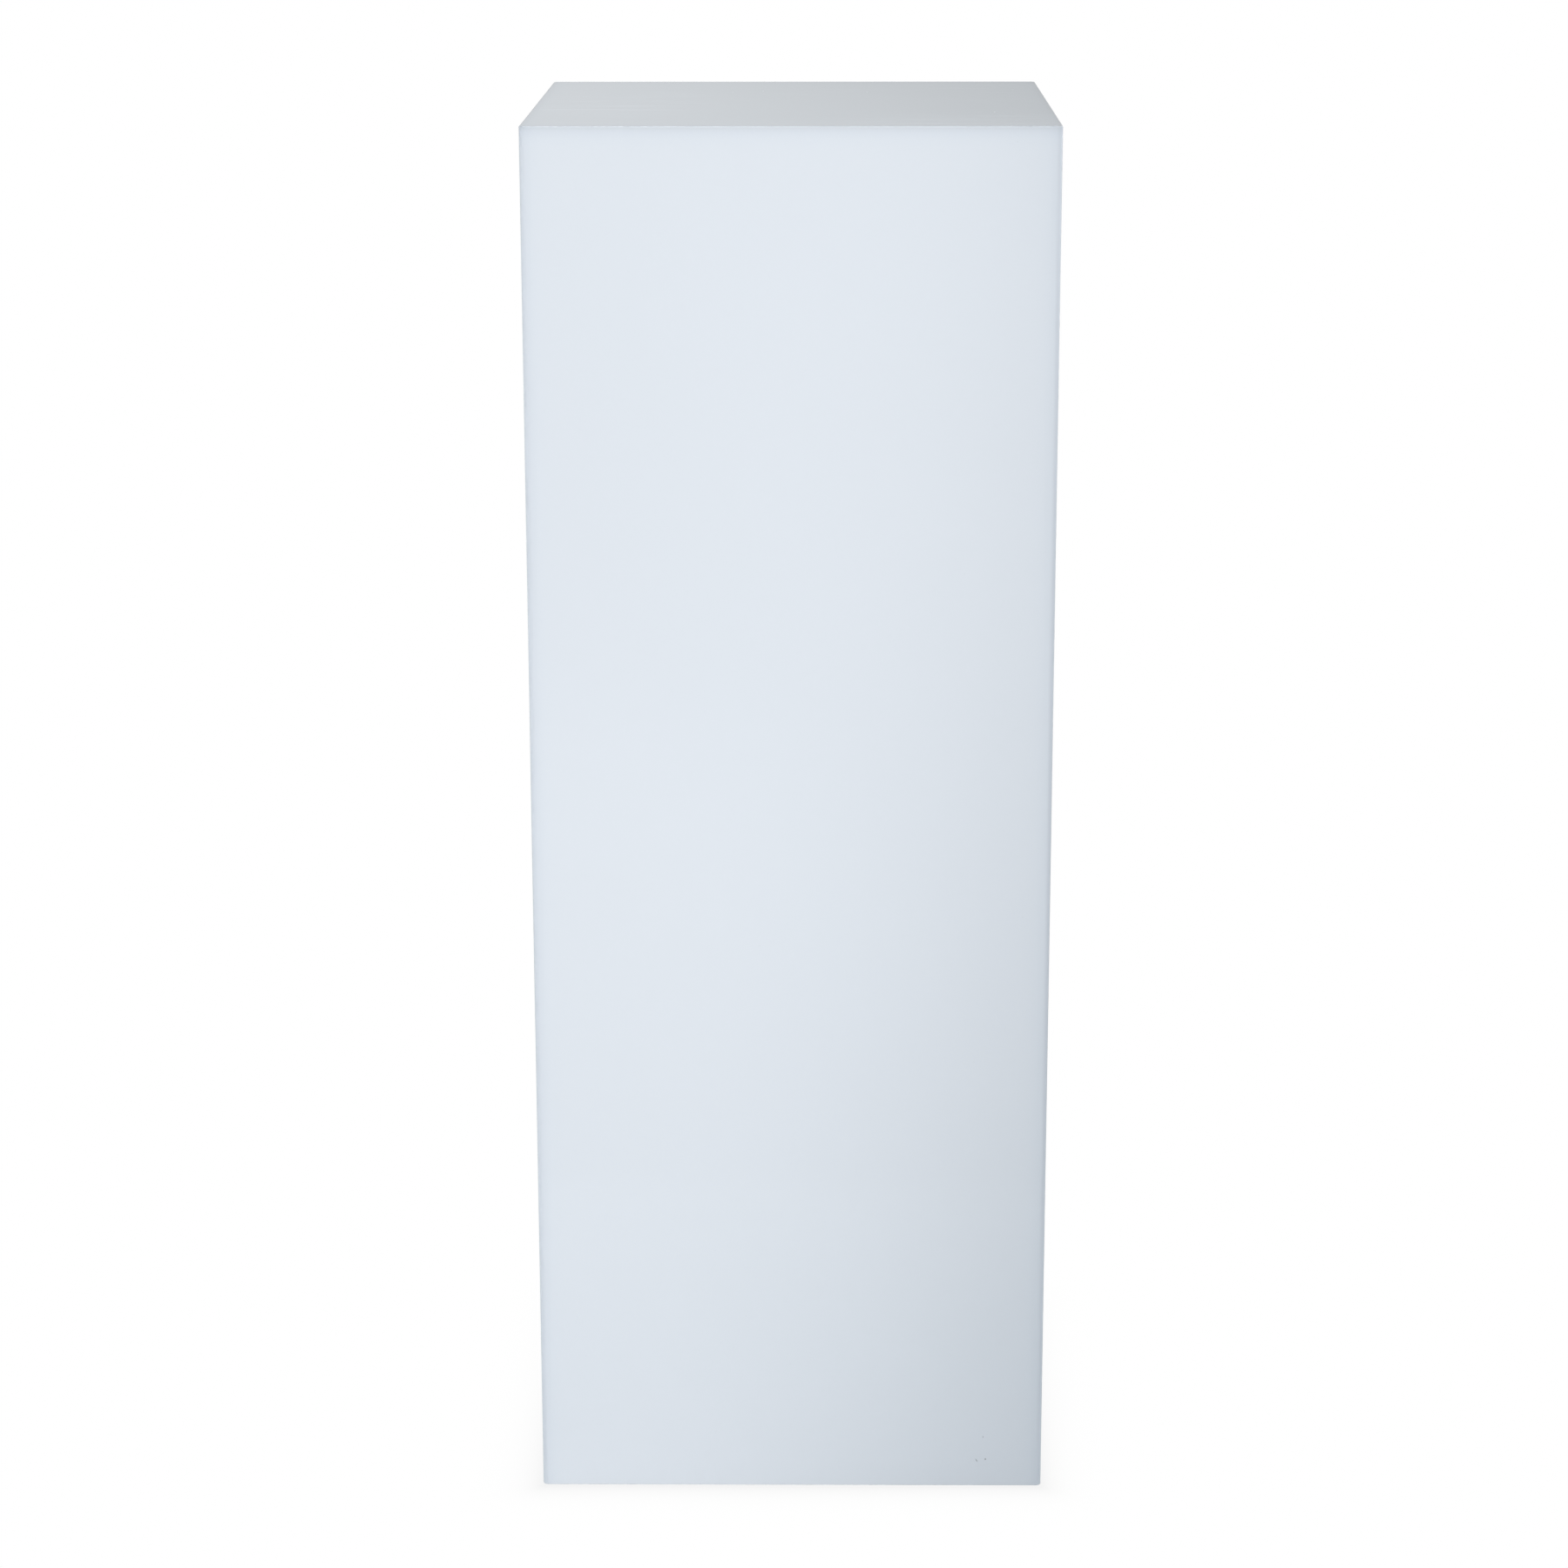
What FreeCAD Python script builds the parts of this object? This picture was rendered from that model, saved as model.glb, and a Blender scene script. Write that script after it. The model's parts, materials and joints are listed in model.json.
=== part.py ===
import FreeCAD, Part
import math
import os

# White acrylic display pedestal: a mitred five-sided box, open underneath.
#
# Five sheets are cut with 45 degree bevels and cemented along them, so no seam
# shows on a flat face. Inside, quarter-round rods back the upright joints,
# square ledgers carry the top sheet, and a frame of flat rails stiffens the
# open base and holds the four feet.
#
# Millimetres. +Z is up and +Y is the back. The origin is on the floor, under
# the middle of the pedestal.

INCH = 25.4

# Driving dimensions: the box
WIDTH = 15.5 * INCH
HEIGHT = 42.0 * INCH
SHEET = 6.0
UPRIGHT_EDGE_RADIUS = 4.0
TOP_EDGE_RADIUS = 0.8
BOTTOM_EDGE_RADIUS = 0.5

# The rods behind the joints, with the inner corner planed off to clear the cement
ROD = 0.5 * INCH
CEMENT_RELIEF = 1.0

# The frame of rails at the open base
RAIL_WIDTH = 38.0
RAIL_RECESS = 2.0
RAIL_LIP_RADIUS = 1.0

# The stick-on bumpers
FOOT_TOP_RADIUS = 0.25 * INCH
FOOT_TREAD_RADIUS = 5.4
FOOT_THICKNESS = 3.5
FOOT_EDGE_RADIUS = 0.9
FOOT_INSET = 20.0

# Worked out from them
WALL_BASE = FOOT_THICKNESS - RAIL_RECESS
RAIL_BASE = FOOT_THICKNESS
RAIL_TOP = RAIL_BASE + SHEET
CEILING = HEIGHT - SHEET
OUTER_HALF = WIDTH / 2
INNER_HALF = OUTER_HALF - SHEET
MOUTH_HALF = INNER_HALF - RAIL_WIDTH

# Two coordinates this close are the same
CLOSE = 1e-6

ORIGIN = FreeCAD.Vector(0, 0, 0)
UP = FreeCAD.Vector(0, 0, 1)
SQUARE = [(-1, -1), (1, -1), (1, 1), (-1, 1)]
SIDES = {"front": 0, "right": 90, "back": 180, "left": 270}
CORNERS = {"front_left": 0, "front_right": 90, "back_right": 180, "back_left": 270}


def turned(shape, degrees):
    """A copy of shape, turned about the pedestal's upright axis."""
    copy = shape.copy()
    copy.rotate(ORIGIN, UP, degrees)
    return copy


def square_block(half, base, top):
    """A square block about the upright axis."""
    return Part.makeBox(2 * half, 2 * half, top - base, FreeCAD.Vector(-half, -half, base))


def frustum(outer, inner):
    """A solid between two four-cornered faces, whose corners run the same way round."""
    neighbours = [(i, (i + 1) % 4) for i in range(4)]
    rings = [outer, inner]
    rings += [[outer[i], outer[j], inner[j], inner[i]] for i, j in neighbours]
    faces = [Part.Face(Part.makePolygon(ring + ring[:1])) for ring in rings]
    solid = Part.Solid(Part.Shell(faces))
    return solid if solid.Volume > 0 else solid.reversed()


def edges_between(shape, wanted):
    """The edges whose two ends both pass the test."""
    return [e for e in shape.Edges if all(wanted(v.Point) for v in e.Vertexes)]


def is_upright(edge):
    """Whether an edge's two ends differ in height."""
    start, end = edge.Vertexes
    return abs(start.Z - end.Z) > CLOSE


def envelope():
    """The outside of the finished box, with its arrises eased by sanding and buffing."""
    box = square_block(OUTER_HALF, WALL_BASE, HEIGHT)
    box = box.makeFillet(UPRIGHT_EDGE_RADIUS, [e for e in box.Edges if is_upright(e)])
    for level, radius in ((HEIGHT, TOP_EDGE_RADIUS), (WALL_BASE, BOTTOM_EDGE_RADIUS)):
        rim = edges_between(box, lambda point: abs(point.z - level) < CLOSE)
        box = box.makeFillet(radius, rim)
    return box


def front_wall(half, ceiling):
    """The four corners of the front sheet's outer or inner face."""
    corners = [(-half, WALL_BASE), (half, WALL_BASE), (half, ceiling), (-half, ceiling)]
    return [FreeCAD.Vector(x, -half, z) for x, z in corners]


def wall_panel(outside):
    """The front sheet: bevelled along both sides and its top."""
    blank = frustum(front_wall(OUTER_HALF, HEIGHT), front_wall(INNER_HALF, CEILING))
    return blank.common(outside)


def top_panel(outside):
    """The top sheet: bevelled on all four sides."""
    outer = [FreeCAD.Vector(x * OUTER_HALF, y * OUTER_HALF, HEIGHT) for x, y in SQUARE]
    inner = [FreeCAD.Vector(x * INNER_HALF, y * INNER_HALF, CEILING) for x, y in SQUARE]
    return frustum(outer, inner).common(outside)


def corner_rod():
    """A quarter-round rod in the front left corner, from the base rails to the top sheet."""
    corner = FreeCAD.Vector(-INNER_HALF, -INNER_HALF, RAIL_TOP)
    on_front = corner + FreeCAD.Vector(ROD, 0, 0)
    on_left = corner + FreeCAD.Vector(0, ROD, 0)
    crown = corner + FreeCAD.Vector(ROD, ROD, 0) * math.sqrt(0.5)
    relief_front = corner + FreeCAD.Vector(CEMENT_RELIEF, 0, 0)
    relief_left = corner + FreeCAD.Vector(0, CEMENT_RELIEF, 0)
    outline = [
        Part.LineSegment(relief_front, on_front).toShape(),
        Part.Arc(on_front, crown, on_left).toShape(),
        Part.LineSegment(on_left, relief_left).toShape(),
        Part.LineSegment(relief_left, relief_front).toShape(),
    ]
    return Part.Face(Part.Wire(outline)).extrude(UP * (CEILING - RAIL_TOP))


def top_ledger():
    """A square rod under the front edge of the top sheet, between two corner rods."""
    half_length = INNER_HALF - ROD
    start = FreeCAD.Vector(-half_length, -INNER_HALF, CEILING - ROD)
    rod = Part.makeBox(2 * half_length, ROD, ROD, start)
    in_corner = edges_between(
        rod,
        lambda point: abs(point.y + INNER_HALF) < CLOSE and abs(point.z - CEILING) < CLOSE,
    )
    return rod.makeChamfer(CEMENT_RELIEF, in_corner)


def rail_frame():
    """All four base rails as one ring, with the lip of its mouth eased."""
    plate = square_block(INNER_HALF, RAIL_BASE, RAIL_TOP)
    ring = plate.cut(square_block(MOUTH_HALF, RAIL_BASE, RAIL_TOP))
    mouth = edges_between(ring, lambda point: abs(point.x) < MOUTH_HALF + CLOSE)
    lip = [e for e in mouth if not is_upright(e)]
    return ring.makeFillet(RAIL_LIP_RADIUS, lip)


def base_rail(ring):
    """The front rail, mitred at both ends."""
    outer = [(-INNER_HALF, -INNER_HALF), (INNER_HALF, -INNER_HALF)]
    inner = [(MOUTH_HALF, -MOUTH_HALF), (-MOUTH_HALF, -MOUTH_HALF)]
    corners = [FreeCAD.Vector(x, y, RAIL_BASE) for x, y in outer + inner]
    outline = Part.Face(Part.makePolygon(corners + corners[:1]))
    return ring.common(outline.extrude(UP * SHEET))


def foot():
    """A bumper stuck under the mitre of two rails at the front left corner."""
    flare = Part.makeCone(FOOT_TREAD_RADIUS, FOOT_TOP_RADIUS, FOOT_THICKNESS)
    tread_edge = [e for e in flare.Edges if e.Closed and e.BoundBox.ZMax < CLOSE]
    bumper = flare.makeFillet(FOOT_EDGE_RADIUS, tread_edge)
    place = FOOT_INSET - INNER_HALF
    bumper.translate(FreeCAD.Vector(place, place, 0))
    return bumper


def pedestal():
    """Every piece by name, each a single closed solid."""
    outside = envelope()
    ring = rail_frame()
    pieces = {"top_panel": top_panel(outside)}
    for side, degrees in SIDES.items():
        pieces[f"{side}_panel"] = turned(wall_panel(outside), degrees)
        pieces[f"top_ledger_{side}"] = turned(top_ledger(), degrees)
        pieces[f"base_rail_{side}"] = turned(base_rail(ring), degrees)
    for corner, degrees in CORNERS.items():
        pieces[f"corner_rod_{corner}"] = turned(corner_rod(), degrees)
        pieces[f"foot_{corner}"] = turned(foot(), degrees)
    return pieces


def main():
    os.makedirs("parts", exist_ok=True)
    for name, shape in pedestal().items():
        if len(shape.Solids) != 1 or not shape.isValid():
            raise ValueError(f"{name} is not one valid solid")
        shape.Solids[0].exportStep(f"parts/{name}.step")


main()
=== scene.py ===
import json
import math

import bpy
from mathutils import Matrix, Vector


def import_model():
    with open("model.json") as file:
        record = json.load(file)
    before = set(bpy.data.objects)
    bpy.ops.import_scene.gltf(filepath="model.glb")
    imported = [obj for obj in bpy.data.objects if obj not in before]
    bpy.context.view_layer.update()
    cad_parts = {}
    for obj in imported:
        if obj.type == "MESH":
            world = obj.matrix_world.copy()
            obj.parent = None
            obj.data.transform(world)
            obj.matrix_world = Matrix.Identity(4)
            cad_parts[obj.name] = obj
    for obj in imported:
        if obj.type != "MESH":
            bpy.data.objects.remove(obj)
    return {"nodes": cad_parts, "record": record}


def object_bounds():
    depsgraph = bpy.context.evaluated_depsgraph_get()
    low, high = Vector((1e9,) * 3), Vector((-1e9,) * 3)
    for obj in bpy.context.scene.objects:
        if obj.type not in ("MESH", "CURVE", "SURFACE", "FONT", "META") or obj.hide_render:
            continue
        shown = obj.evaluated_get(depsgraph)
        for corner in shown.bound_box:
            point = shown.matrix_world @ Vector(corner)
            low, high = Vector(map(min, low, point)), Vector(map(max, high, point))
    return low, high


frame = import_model()
cad_low, cad_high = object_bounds()

# Looks of a white acrylic display pedestal. Metres; +Z up, +Y towards the back panel.

MM = 0.001
FRONT_FACE = cad_low.y
HALF_WIDTH = cad_high.x
HEIGHT = cad_high.z

# The camera, which looks slightly down on the front from a little right of its middle
CAMERA_PLACE = Vector((0.0211, -3.0466, 1.3297))
CAMERA_PITCH = math.radians(-14.822)
CAMERA_YAW = math.radians(0.534)
CAMERA_ROLL = math.radians(-0.077)
SENSOR = 36.0
LENS = 89.73


# ---------------------------------------------------------------- node helpers


class Nodes:
    """A short way to write a material's nodes."""

    def __init__(self, tree):
        self.tree = tree
        tree.nodes.clear()

    def set(self, socket, value):
        """Gives an input a value, or links another node's output to it."""
        if isinstance(value, bpy.types.NodeSocket):
            self.tree.links.new(value, socket)
        else:
            socket.default_value = value

    def add(self, kind, inputs=None, **settings):
        """A new node with its settings and inputs."""
        node = self.tree.nodes.new("ShaderNode" + kind)
        for name, value in settings.items():
            setattr(node, name, value)
        for name, value in (inputs or {}).items():
            self.set(node.inputs[name], value)
        return node

    def math(self, operation, *values):
        """One step of arithmetic on values or outputs."""
        return self.add("Math", dict(enumerate(values)), operation=operation).outputs[0]

    def place(self):
        """A point's place on the object, in metres."""
        return self.add("TexCoord").outputs["Object"]

    def axes(self, vector):
        """The X, Y and Z of a vector."""
        return self.add("SeparateXYZ", {0: vector}).outputs

    def ramp(self, value, low, high, to_low=0.0, to_high=1.0):
        """value, taken smoothly from the range low..high to to_low..to_high."""
        inputs = {
            "Value": value,
            "From Min": low,
            "From Max": high,
            "To Min": to_low,
            "To Max": to_high,
        }
        node = self.add("MapRange", inputs, interpolation_type="SMOOTHSTEP")
        return node.outputs["Result"]

    def noise(self, place, scale, detail):
        """Cloudy noise around one half, with scale features in a metre."""
        inputs = {"Vector": place, "Scale": scale, "Detail": detail}
        return self.add("TexNoise", inputs).outputs["Fac"]

    def clouds(self, scale, detail, band, levels=(0.0, 1.0)):
        """Noise over the object, its middle band taken to the two levels."""
        return self.ramp(self.noise(self.place(), scale, detail), *band, *levels)

    def streaks(self, stretch, detail, turn=(0, 0, 0)):
        """Noise over the object, turned, with its own count of features in a metre on each axis."""
        inputs = {"Vector": self.place(), "Rotation": turn, "Scale": stretch}
        return self.noise(self.add("Mapping", inputs).outputs[0], 1.0, detail)

    def cells(self, scale):
        """A Voronoi pattern over the object, with scale cells in a metre."""
        return self.add("TexVoronoi", {"Vector": self.place(), "Scale": scale}).outputs

    def tinted(self, base, shares):
        """A base colour with each channel taken down to its share."""
        color = self.add("CombineColor")
        for socket, share, level in zip(color.inputs, shares, base):
            self.set(socket, self.math("MULTIPLY", share, level))
        return color.outputs[0]

    def plastic(self, color, roughness, ior, relief, depth, transmission=0.0):
        """The material's surface. Its relief, of 0 to 1, stands depth metres proud."""
        normal = self.add("Bump", {"Height": relief, "Distance": depth}).outputs[0]
        inputs = {
            "Base Color": color,
            "Roughness": roughness,
            "IOR": ior,
            "Transmission Weight": transmission,
            "Normal": normal,
        }
        shader = self.add("BsdfPrincipled", inputs)
        self.add("OutputMaterial", {"Surface": shader.outputs[0]})


def new_material(name):
    material = bpy.data.materials.new(name)
    material.use_nodes = True
    return material, Nodes(material.node_tree)


# ------------------------------------------------------------------- materials

ACRYLIC_IOR = 1.49
URETHANE_IOR = 1.5

# The middle of the noise's values: for soft clouds, and a little higher for smears
CLOUD_BAND = (0.3, 0.7)
SMEAR_BAND = (0.35, 0.7)

SHEET_COLOR = (0.857, 0.879, 0.92)

# Painted shade near each arris, for light that leaks out of the sheet there: how far red, green and
# blue light travels in the sheet before it leaks out at an arris, and the share of colour taken
# away at the arris itself
PAINTED_SHADE_DEPTHS = (4.4 * MM, 3.8 * MM, 3.2 * MM)
PAINTED_SHADE_AT_ARRIS = 0.15


def painted_edge_shade(nodes):
    """Painted shade: what is left of each colour near an arris, darkened there for the light that
    leaks out of the sheet.
    """
    place = nodes.axes(nodes.place())
    across = nodes.math("SUBTRACT", HALF_WIDTH, nodes.math("ABSOLUTE", place["X"]))
    along = nodes.math("SUBTRACT", HALF_WIDTH, nodes.math("ABSOLUTE", place["Y"]))
    below = nodes.math("SUBTRACT", HEIGHT, place["Z"])
    shares = []
    for depth in PAINTED_SHADE_DEPTHS:
        # One of the three distances is 0 all over a face, which isn't an arris: this undoes it
        kept = 1 / (1 - PAINTED_SHADE_AT_ARRIS)
        for distance in (across, along, below):
            fade = nodes.math("EXPONENT", nodes.math("DIVIDE", distance, -depth))
            loss = nodes.math("MULTIPLY", fade, PAINTED_SHADE_AT_ARRIS)
            kept = nodes.math("MULTIPLY", kept, nodes.math("SUBTRACT", 1.0, loss))
        shares.append(kept)
    return shares


CASTING_SCALE = 3.5
CASTING_DETAIL = 2.0
CASTING_LEVELS = (0.992, 1.0)


def casting_cloud(nodes):
    """The faint unevenness of pigment in a cast sheet, as a share of its colour."""
    return nodes.clouds(CASTING_SCALE, CASTING_DETAIL, CLOUD_BAND, CASTING_LEVELS)


# Dust: cells in a metre, the share of cells left empty, and a speck's least and greatest
# radius as a share of its cell
DUST_CELLS = 85.0
DUST_EMPTY = 0.9
DUST_RADII = (0.025, 0.06)


def dust(nodes):
    """Sparse specks of dust: 1 on a speck and 0 between them."""
    cells = nodes.cells(DUST_CELLS)
    chance = nodes.add("SeparateColor", {0: cells["Color"]}).outputs
    radius = nodes.ramp(chance["Green"], 0.0, 1.0, *DUST_RADII)
    speck = nodes.math("LESS_THAN", cells["Distance"], radius)
    chosen = nodes.math("GREATER_THAN", chance["Red"], DUST_EMPTY)
    return nodes.math("MULTIPLY", speck, chosen)


# Hairlines: the two ways they run, their features in a metre along and across, the noise
# that counts as a line, and the patches that hold them
WIPE_TURNS = ((0.5, 0.9, 0.3), (1.1, -0.4, 0.8))
WIPE_STRETCH = (9.0, 700.0, 700.0)
WIPE_DETAIL = 1.0
WIPE_BAND = (0.66, 0.74)
WIPE_PATCH_SCALE = 7.0
WIPE_PATCH_DETAIL = 2.0
WIPE_PATCH_BAND = (0.45, 0.65)


def wipe_marks(nodes):
    """Fine hairlines left by wiping, in two directions and only in patches."""
    lines = 0.0
    for turn in WIPE_TURNS:
        streaks = nodes.streaks(WIPE_STRETCH, WIPE_DETAIL, turn)
        lines = nodes.math("MAXIMUM", lines, nodes.ramp(streaks, *WIPE_BAND))
    patches = nodes.clouds(WIPE_PATCH_SCALE, WIPE_PATCH_DETAIL, WIPE_PATCH_BAND)
    return nodes.math("MULTIPLY", lines, patches)


# Three small scuffs low on the front: how far in from the right arris, how high, the half
# length and half width of the mark, and its lean in degrees
SCUFFS = [
    (51 * MM, 23 * MM, 2.0 * MM, 0.5 * MM, 120.0),
    (44 * MM, 24 * MM, 1.0 * MM, 0.8 * MM, 90.0),
    (46 * MM, 43 * MM, 1.0 * MM, 0.4 * MM, 90.0),
]

# The middle of a scuff that is at full strength, as a share of its reach
SCUFF_CORE = 0.4

# How much of the sheet's colour a speck of dust and a scuff take away
DUST_SHADE = 0.12
SCUFF_SHADE = 0.5


def scuffs(nodes):
    """The small marks that knocks have left on the front: 1 on a mark and 0 off it."""
    place = nodes.axes(nodes.place())
    marks = 0.0
    for inset, height, half_length, half_width, lean in SCUFFS:
        across = nodes.math("SUBTRACT", place["X"], HALF_WIDTH - inset)
        upwards = nodes.math("SUBTRACT", place["Z"], height)
        cosine = math.cos(math.radians(lean))
        sine = math.sin(math.radians(lean))
        along = nodes.math(
            "ADD",
            nodes.math("MULTIPLY", across, cosine),
            nodes.math("MULTIPLY", upwards, sine),
        )
        aside = nodes.math(
            "SUBTRACT",
            nodes.math("MULTIPLY", upwards, cosine),
            nodes.math("MULTIPLY", across, sine),
        )
        scaled = {
            0: nodes.math("DIVIDE", along, half_length),
            1: nodes.math("DIVIDE", aside, half_width),
        }
        reach = nodes.add("CombineXYZ", scaled).outputs[0]
        distance = nodes.add("VectorMath", {0: reach}, operation="LENGTH").outputs["Value"]
        marks = nodes.math("MAXIMUM", marks, nodes.ramp(distance, 1.0, SCUFF_CORE))
    on_front = nodes.math("LESS_THAN", place["Y"], FRONT_FACE + MM)
    return nodes.math("MULTIPLY", marks, on_front)


# The gloss of the sheet, clean and smeared, and what hairlines and specks add to it
SMEAR_SCALE = 11.0
SMEAR_DETAIL = 4.0
SHEET_ROUGHNESS = (0.045, 0.075)
WIPE_ROUGHNESS = 0.12
SPECK_ROUGHNESS = 0.5

# The sheet's relief: gentle waves, cut by the hairlines and topped by the specks
WAVE_SCALE = 9.0
WAVE_DETAIL = 1.0
WIPE_HEIGHT = -0.06
SPECK_HEIGHT = 2.0
SHEET_RELIEF = 0.015 * MM


def white_acrylic():
    """The gloss sheet, with painted shade at its arrises for the light that leaks out there, and
    its dust, scuffs, wiping marks and gentle waviness.
    """
    material, nodes = new_material("white_acrylic")
    dusty = dust(nodes)
    scuffed = scuffs(nodes)
    specks = nodes.math("MAXIMUM", dusty, scuffed)
    dust_shade = nodes.math("MULTIPLY", dusty, DUST_SHADE)
    scuff_shade = nodes.math("MULTIPLY", scuffed, SCUFF_SHADE)
    stain = nodes.math("MAXIMUM", dust_shade, scuff_shade)
    clean = nodes.math("SUBTRACT", casting_cloud(nodes), stain)
    # Painted shade: each colour is darkened near the arrises, for the light that leaks out of the
    # sheet there
    shares = [nodes.math("MULTIPLY", share, clean) for share in painted_edge_shade(nodes)]
    marks = wipe_marks(nodes)
    smears = nodes.clouds(SMEAR_SCALE, SMEAR_DETAIL, SMEAR_BAND, SHEET_ROUGHNESS)
    worn = nodes.math("ADD", smears, nodes.math("MULTIPLY", marks, WIPE_ROUGHNESS))
    roughness = nodes.math("ADD", worn, nodes.math("MULTIPLY", specks, SPECK_ROUGHNESS))
    waves = nodes.noise(nodes.place(), WAVE_SCALE, WAVE_DETAIL)
    grooved = nodes.math("ADD", waves, nodes.math("MULTIPLY", marks, WIPE_HEIGHT))
    relief = nodes.math("ADD", grooved, nodes.math("MULTIPLY", specks, SPECK_HEIGHT))
    color = nodes.tinted(SHEET_COLOR, shares)
    nodes.plastic(color, roughness, ACRYLIC_IOR, relief, SHEET_RELIEF)
    return material


OFFCUT_COLOR = (0.815, 0.85, 0.88)
OFFCUT_SCALE = 14.0
OFFCUT_DETAIL = 3.0
OFFCUT_ROUGHNESS = (0.07, 0.13)

# Sawn faces are upright: the Z of the normal at which saw marks start, and are all there
SAWN_FROM = 0.9
SAWN_FULLY = 0.5
SAW_PITCH = 1.4 * MM
SAW_WOBBLE = 2.5 * MM
SAW_WOBBLE_SCALE = 60.0
SAW_WOBBLE_DETAIL = 2.0
SAW_ROUGHNESS = 0.35
SAW_SHADE = 0.05
SAW_RELIEF = 0.05 * MM


def white_acrylic_offcut():
    """Strips of the same sheet, with matt faces where the saw left its marks."""
    material, nodes = new_material("white_acrylic_offcut")
    facing = nodes.axes(nodes.add("NewGeometry").outputs["Normal"])
    sawn_face = nodes.ramp(nodes.math("ABSOLUTE", facing["Z"]), SAWN_FROM, SAWN_FULLY)
    place = nodes.place()
    axes = nodes.axes(place)
    along_edge = nodes.math("ADD", axes["X"], axes["Y"])
    noise = nodes.noise(place, SAW_WOBBLE_SCALE, SAW_WOBBLE_DETAIL)
    wobble = nodes.math("MULTIPLY", noise, SAW_WOBBLE)
    step = nodes.math("DIVIDE", nodes.math("ADD", along_edge, wobble), SAW_PITCH)
    saw_marks = nodes.math("MULTIPLY", nodes.math("PINGPONG", step, 1.0), sawn_face)
    shade = nodes.math("MULTIPLY", saw_marks, SAW_SHADE)
    haze = nodes.math("SUBTRACT", casting_cloud(nodes), shade)
    cleaned = nodes.clouds(OFFCUT_SCALE, OFFCUT_DETAIL, SMEAR_BAND, OFFCUT_ROUGHNESS)
    roughness = nodes.math("ADD", cleaned, nodes.math("MULTIPLY", sawn_face, SAW_ROUGHNESS))
    color = nodes.tinted(OFFCUT_COLOR, (haze, haze, haze))
    nodes.plastic(color, roughness, ACRYLIC_IOR, saw_marks, SAW_RELIEF)
    return material


ROD_COLOR = (0.92, 0.95, 0.96)
ROD_CLOUD_SCALE = 25.0
ROD_CLOUD_DETAIL = 2.0
ROD_SHARES = (0.97, 1.0)
ROD_SMEAR_SCALE = 40.0
ROD_SMEAR_DETAIL = 3.0
ROD_ROUGHNESS = (0.03, 0.09)

# Draw lines run up the rod; a bubble's radius is a share of its cell
DRAW_STRETCH = (900.0, 900.0, 5.0)
DRAW_DETAIL = 2.0
BUBBLE_CELLS = 420.0
BUBBLE_RADIUS = 0.16
BUBBLE_HEIGHT = 0.5
ROD_RELIEF = 0.02 * MM


def clear_acrylic():
    """Extruded rod: clear, with faint draw lines and bubbles left by the cement."""
    material, nodes = new_material("clear_acrylic")
    draw_lines = nodes.streaks(DRAW_STRETCH, DRAW_DETAIL)
    bubbles = nodes.math("LESS_THAN", nodes.cells(BUBBLE_CELLS)["Distance"], BUBBLE_RADIUS)
    relief = nodes.math("ADD", draw_lines, nodes.math("MULTIPLY", bubbles, BUBBLE_HEIGHT))
    share = nodes.clouds(ROD_CLOUD_SCALE, ROD_CLOUD_DETAIL, CLOUD_BAND, ROD_SHARES)
    roughness = nodes.clouds(ROD_SMEAR_SCALE, ROD_SMEAR_DETAIL, SMEAR_BAND, ROD_ROUGHNESS)
    color = nodes.tinted(ROD_COLOR, (share, share, share))
    nodes.plastic(color, roughness, ACRYLIC_IOR, relief, ROD_RELIEF, transmission=1.0)
    return material


FOOT_COLOR = (0.85, 0.87, 0.86)
FOOT_CLEARNESS = 0.7
GRAIN_SCALE = 2500.0
GRAIN_DETAIL = 3.0
GRAIN_ROUGHNESS = (0.28, 0.42)
GRAIN_RELIEF = 0.03 * MM
GRIME_TOP = 1.2 * MM
GRIME_SHADE = 0.25
GRIME_ROUGHNESS = 0.3


def clear_urethane():
    """Soft bumper: milky, finely grained, with grime at the tread."""
    material, nodes = new_material("clear_urethane")
    place = nodes.place()
    grime = nodes.ramp(nodes.axes(place)["Z"], GRIME_TOP, 0.0)
    share = nodes.math("SUBTRACT", 1.0, nodes.math("MULTIPLY", grime, GRIME_SHADE))
    grain = nodes.noise(place, GRAIN_SCALE, GRAIN_DETAIL)
    grained = nodes.ramp(grain, *CLOUD_BAND, *GRAIN_ROUGHNESS)
    roughness = nodes.math("ADD", grained, nodes.math("MULTIPLY", grime, GRIME_ROUGHNESS))
    color = nodes.tinted(FOOT_COLOR, (share, share, share))
    nodes.plastic(color, roughness, URETHANE_IOR, grain, GRAIN_RELIEF, FOOT_CLEARNESS)
    return material


def dress_cad_nodes():
    """Every CAD node's finish, by the record's material slot."""
    finishes = {
        "white_acrylic": white_acrylic(),
        "white_acrylic_offcut": white_acrylic_offcut(),
        "clear_acrylic": clear_acrylic(),
        "clear_urethane": clear_urethane(),
    }
    for part in frame["record"]["subparts"]:
        piece = frame["nodes"][part["node"]]
        for holder in piece.material_slots:
            holder.material = finishes[part["material_slot"]]


# ----------------------------------------------------------------------- stage

FLOOR_REACH = 30.0
PAPER_HALF = HALF_WIDTH + 0.68
PAPER_ALBEDO = 0.45
ROOM_ALBEDO = 0.12

# A faint painted shadow in the white that the camera sees on the floor where the object stands: how
# dark it is and how far it reaches
PAINTED_SHADOW_DEPTH = 0.1
PAINTED_SHADOW_REACH = 12 * MM


def plane(name, half_width, half_depth):
    """A flat rectangle in its own XY plane."""
    mesh = bpy.data.meshes.new(name)
    signs = [(-1, -1), (1, -1), (1, 1), (-1, 1)]
    mesh.from_pydata([(x * half_width, y * half_depth, 0) for x, y in signs], [], [(0, 1, 2, 3)])
    piece = bpy.data.objects.new(name, mesh)
    bpy.context.scene.collection.objects.link(piece)
    return piece


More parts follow.
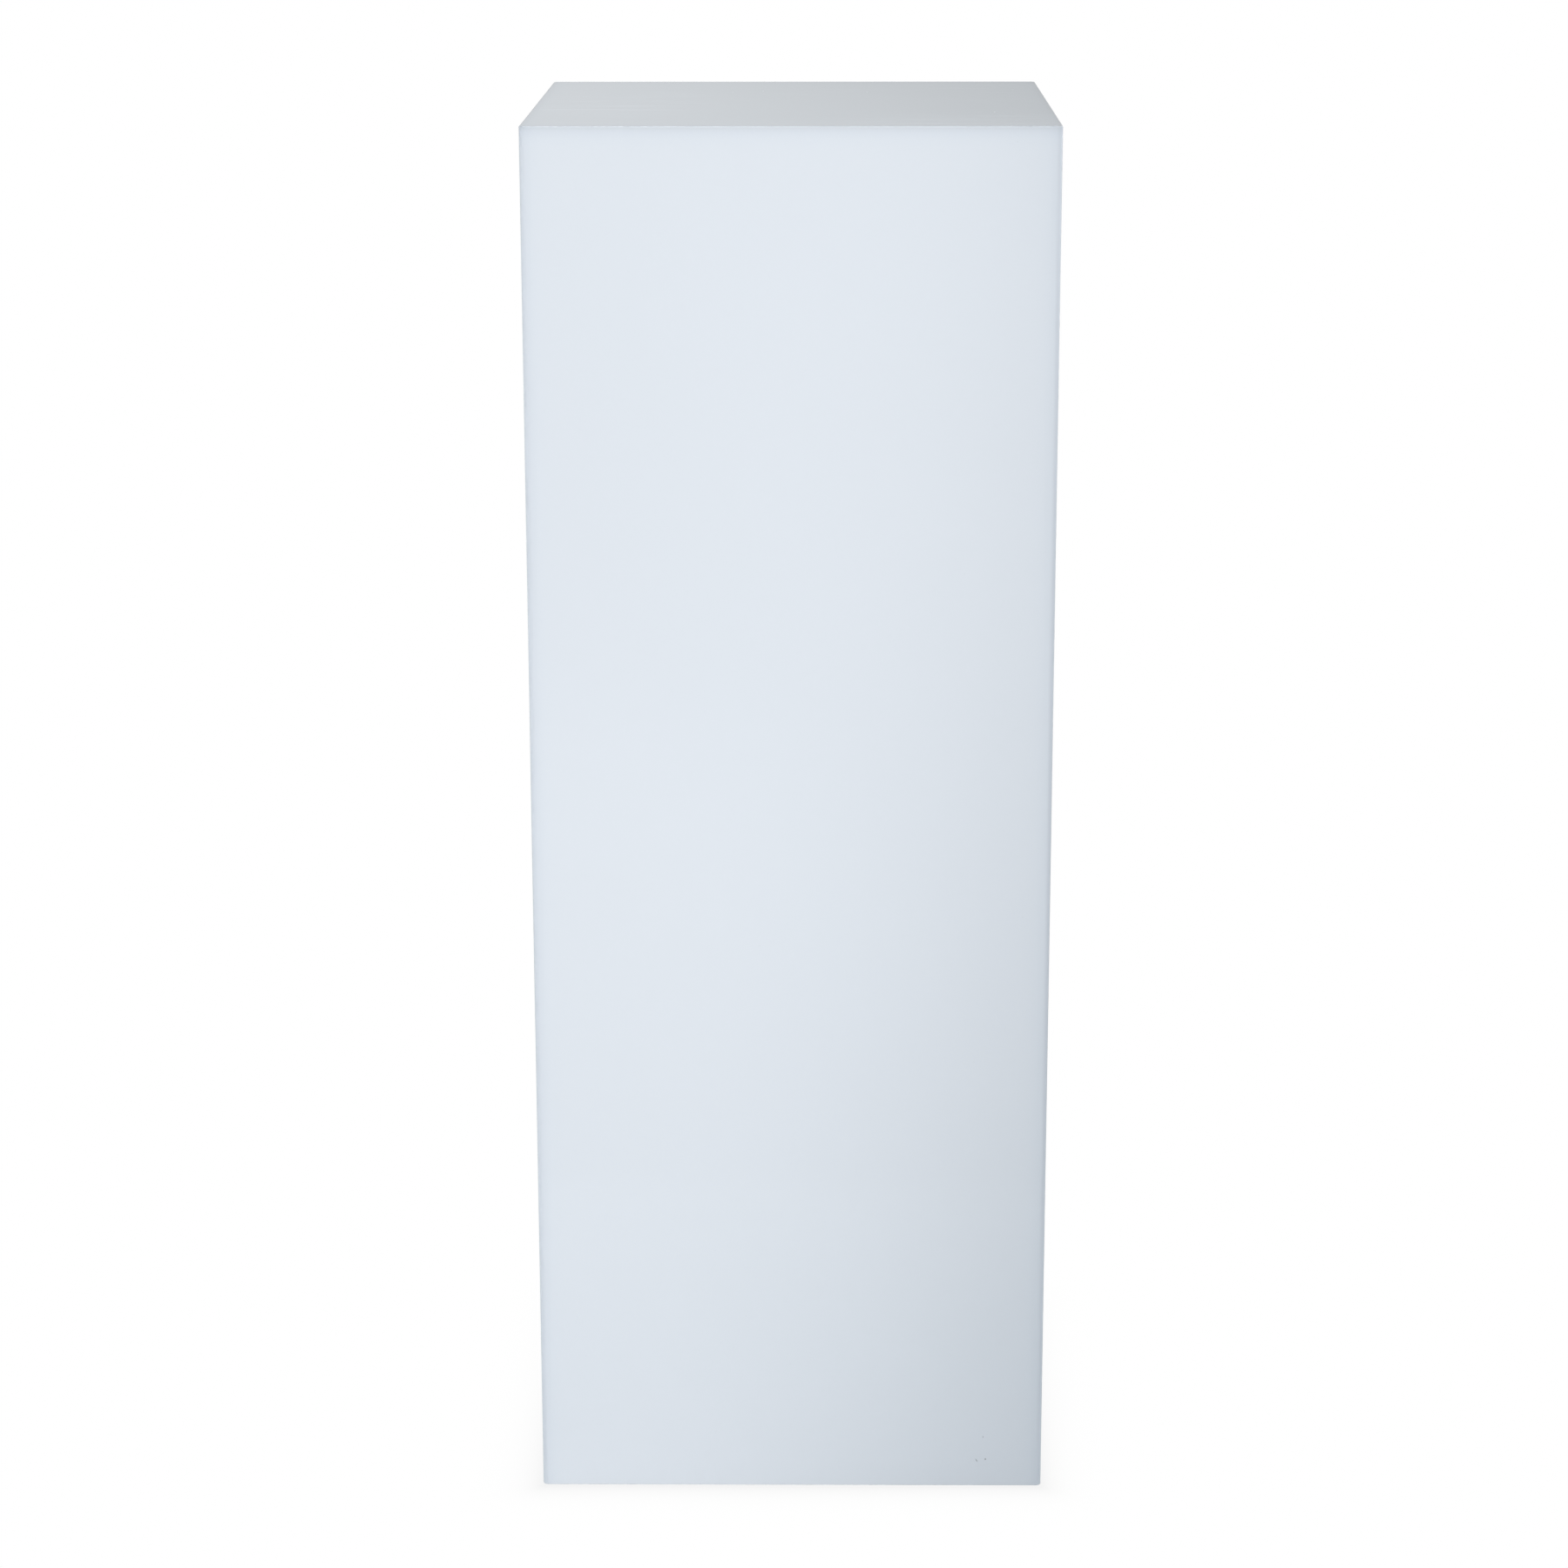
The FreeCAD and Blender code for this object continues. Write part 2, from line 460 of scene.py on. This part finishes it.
def painted_contact_shadow(nodes, reach_x, reach_y):
    """Painted shadow: 1 on open floor, and less close to the object."""
    gaps = [
        nodes.math("MAXIMUM", nodes.math("SUBTRACT", reach, HALF_WIDTH), 0.0)
        for reach in (reach_x, reach_y)
    ]
    squares = [nodes.math("POWER", gap, 2.0) for gap in gaps]
    away = nodes.math("SQRT", nodes.math("ADD", *squares))
    fade = nodes.math("EXPONENT", nodes.math("DIVIDE", away, -PAINTED_SHADOW_REACH))
    return nodes.math("SUBTRACT", 1.0, nodes.math("MULTIPLY", fade, PAINTED_SHADOW_DEPTH))


def floor_material():
    """A matt sheet of paper on a darker floor. The camera sees both as white, but for the
    painted shadow where the object stands."""
    material, nodes = new_material("floor")
    axes = nodes.axes(nodes.place())
    reach_x = nodes.math("ABSOLUTE", axes["X"])
    reach_y = nodes.math("ABSOLUTE", axes["Y"])
    off_paper = nodes.math("GREATER_THAN", nodes.math("MAXIMUM", reach_x, reach_y), PAPER_HALF)
    albedos = {0: off_paper, 2: PAPER_ALBEDO, 3: ROOM_ALBEDO}
    matt = nodes.add("BsdfDiffuse", {"Color": nodes.add("Mix", albedos).outputs[0]}).outputs[0]
    # The camera's white floor, with a painted shadow near the object
    white = nodes.add("Emission", {"Strength": painted_contact_shadow(nodes, reach_x, reach_y)}).outputs[0]
    path = nodes.add("LightPath")
    seen = nodes.add("MixShader", {0: path.outputs["Is Camera Ray"], 1: matt, 2: white})
    nodes.add("OutputMaterial", {"Surface": seen.outputs[0]})
    return material


def floor():
    piece = plane("floor", FLOOR_REACH, FLOOR_REACH)
    piece.data.materials.append(floor_material())


# What the room gives to the camera, to matt surfaces and to reflections
BACKDROP = (1.0, 1.0, 1.0, 1.0)
AMBIENT = (0.22, 0.28, 0.32, 1.0)
REFLECTED = (0.51, 0.51, 0.51, 1.0)


def world():
    """White to the camera, dim to matt surfaces and mid grey in reflections."""
    background = bpy.data.worlds.new("studio")
    background.use_nodes = True
    nodes = Nodes(background.node_tree)
    path = nodes.add("LightPath")
    white = nodes.add("Background", {"Color": BACKDROP}).outputs[0]
    soft = nodes.add("Background", {"Color": AMBIENT}).outputs[0]
    gloss = nodes.add("Background", {"Color": REFLECTED}).outputs[0]
    lit = nodes.add("MixShader", {0: path.outputs["Is Glossy Ray"], 1: soft, 2: gloss}).outputs[0]
    seen = nodes.add("MixShader", {0: path.outputs["Is Camera Ray"], 1: lit, 2: white})
    nodes.add("OutputWorld", {"Surface": seen.outputs[0]})
    bpy.context.scene.world = background


def aimed(thing, place, target):
    """Stands a lamp or card at a place, facing a target and out of the camera's sight."""
    thing.location = place
    thing.rotation_mode = "QUATERNION"
    thing.rotation_quaternion = (Vector(target) - Vector(place)).to_track_quat("-Z", "Y")
    thing.visible_camera = False


def lamp(name, data, place, target):
    """A lamp that lights surfaces and doesn't show in their gloss."""
    piece = bpy.data.objects.new(name, data)
    aimed(piece, place, target)
    piece.visible_glossy = False
    bpy.context.scene.collection.objects.link(piece)


# Each spotlight: place, target, radius, full cone in degrees, softness of its rim, watts
SPOTS = {
    "overhead": ((1.9, 0.45, 3.15), (-1.45, -0.2, 1.6), 0.25, 62.0, 1.0, 625.0),
    "fill": ((0.3, -3.1, 1.15), (-4.1, -0.2, 1.25), 0.15, 135.0, 0.4, 238.0),
    "left_wash": ((-2.85, -2.65, 1.25), (-0.5, -0.2, 0.85), 0.15, 24.5, 0.55, 60.0),
    "grazer": ((0.55, -0.45, 2.35), (-0.35, -0.2, -0.55), 0.15, 15.0, 1.0, 25.0),
}


def spotlights():
    for name, (place, target, radius, cone, rim, watts) in SPOTS.items():
        data = bpy.data.lights.new(name, "SPOT")
        data.shadow_soft_size = radius
        data.spot_size = math.radians(cone)
        data.spot_blend = rim
        data.energy = watts
        lamp(name, data, place, target)


# Each softbox: place and watts
SOFTBOXES = {
    "left_box": ((-2.6, 0.6, 0.6), 26.0),
    "right_box": ((2.6, 0.6, 0.6), 11.0),
    "back_left_box": ((-2.1, 2.0, 0.6), 44.0),
    "back_right_box": ((2.1, 2.0, 0.6), 75.0),
}
SOFTBOX_SIZE = 1.2
SOFTBOX_TARGET = (0, 0.1, 0.5)


def softboxes():
    """Wide lights at the sides and behind, which share out the other three walls."""
    for name, (place, watts) in SOFTBOXES.items():
        data = bpy.data.lights.new(name, "AREA")
        data.size = SOFTBOX_SIZE
        data.energy = watts
        lamp(name, data, place, SOFTBOX_TARGET)


# Soft strips of light round the back, for the gloss to reflect. Degrees, with 90 on the
# right of the pedestal and 180 behind it.
STRIP_AZIMUTHS = (138, 187, 222)
STRIP_DISTANCE = 1.7
STRIP_HALF_WIDTH = 0.25
STRIP_HALF_HEIGHT = 0.5
STRIP_GLOW = 2.4
STRIP_CORE = 0.2


def strip_material():
    """A strip of light that fades out towards its edges."""
    material, nodes = new_material("strip")
    axes = nodes.axes(nodes.place())
    strength = STRIP_GLOW
    for axis, half in (("X", STRIP_HALF_WIDTH), ("Y", STRIP_HALF_HEIGHT)):
        share = nodes.ramp(nodes.math("ABSOLUTE", axes[axis]), half, STRIP_CORE * half)
        strength = nodes.math("MULTIPLY", strength, share)
    shader = nodes.add("Emission", {"Strength": strength})
    nodes.add("OutputMaterial", {"Surface": shader.outputs[0]})
    return material


def strips():
    material = strip_material()
    for azimuth in STRIP_AZIMUTHS:
        angle = math.radians(azimuth)
        sideways = STRIP_DISTANCE * math.sin(angle)
        backwards = -STRIP_DISTANCE * math.cos(angle)
        strip = plane(f"strip_{azimuth}", STRIP_HALF_WIDTH, STRIP_HALF_HEIGHT)
        strip.data.materials.append(material)
        aimed(strip, (sideways, backwards, STRIP_HALF_HEIGHT), (0, 0, STRIP_HALF_HEIGHT))


def camera():
    data = bpy.data.cameras.new("camera")
    data.sensor_width = SENSOR
    data.lens = LENS
    eye = bpy.data.objects.new("camera", data)
    turn = (
        Matrix.Rotation(CAMERA_YAW, 4, "Z")
        @ Matrix.Rotation(math.pi / 2 + CAMERA_PITCH, 4, "X")
        @ Matrix.Rotation(CAMERA_ROLL, 4, "Z")
    )
    eye.matrix_world = Matrix.Translation(CAMERA_PLACE) @ turn
    bpy.context.scene.collection.objects.link(eye)
    bpy.context.scene.camera = eye


camera()
dress_cad_nodes()
floor()
world()
spotlights()
softboxes()
strips()
bpy.context.scene.view_settings.view_transform = "Standard"
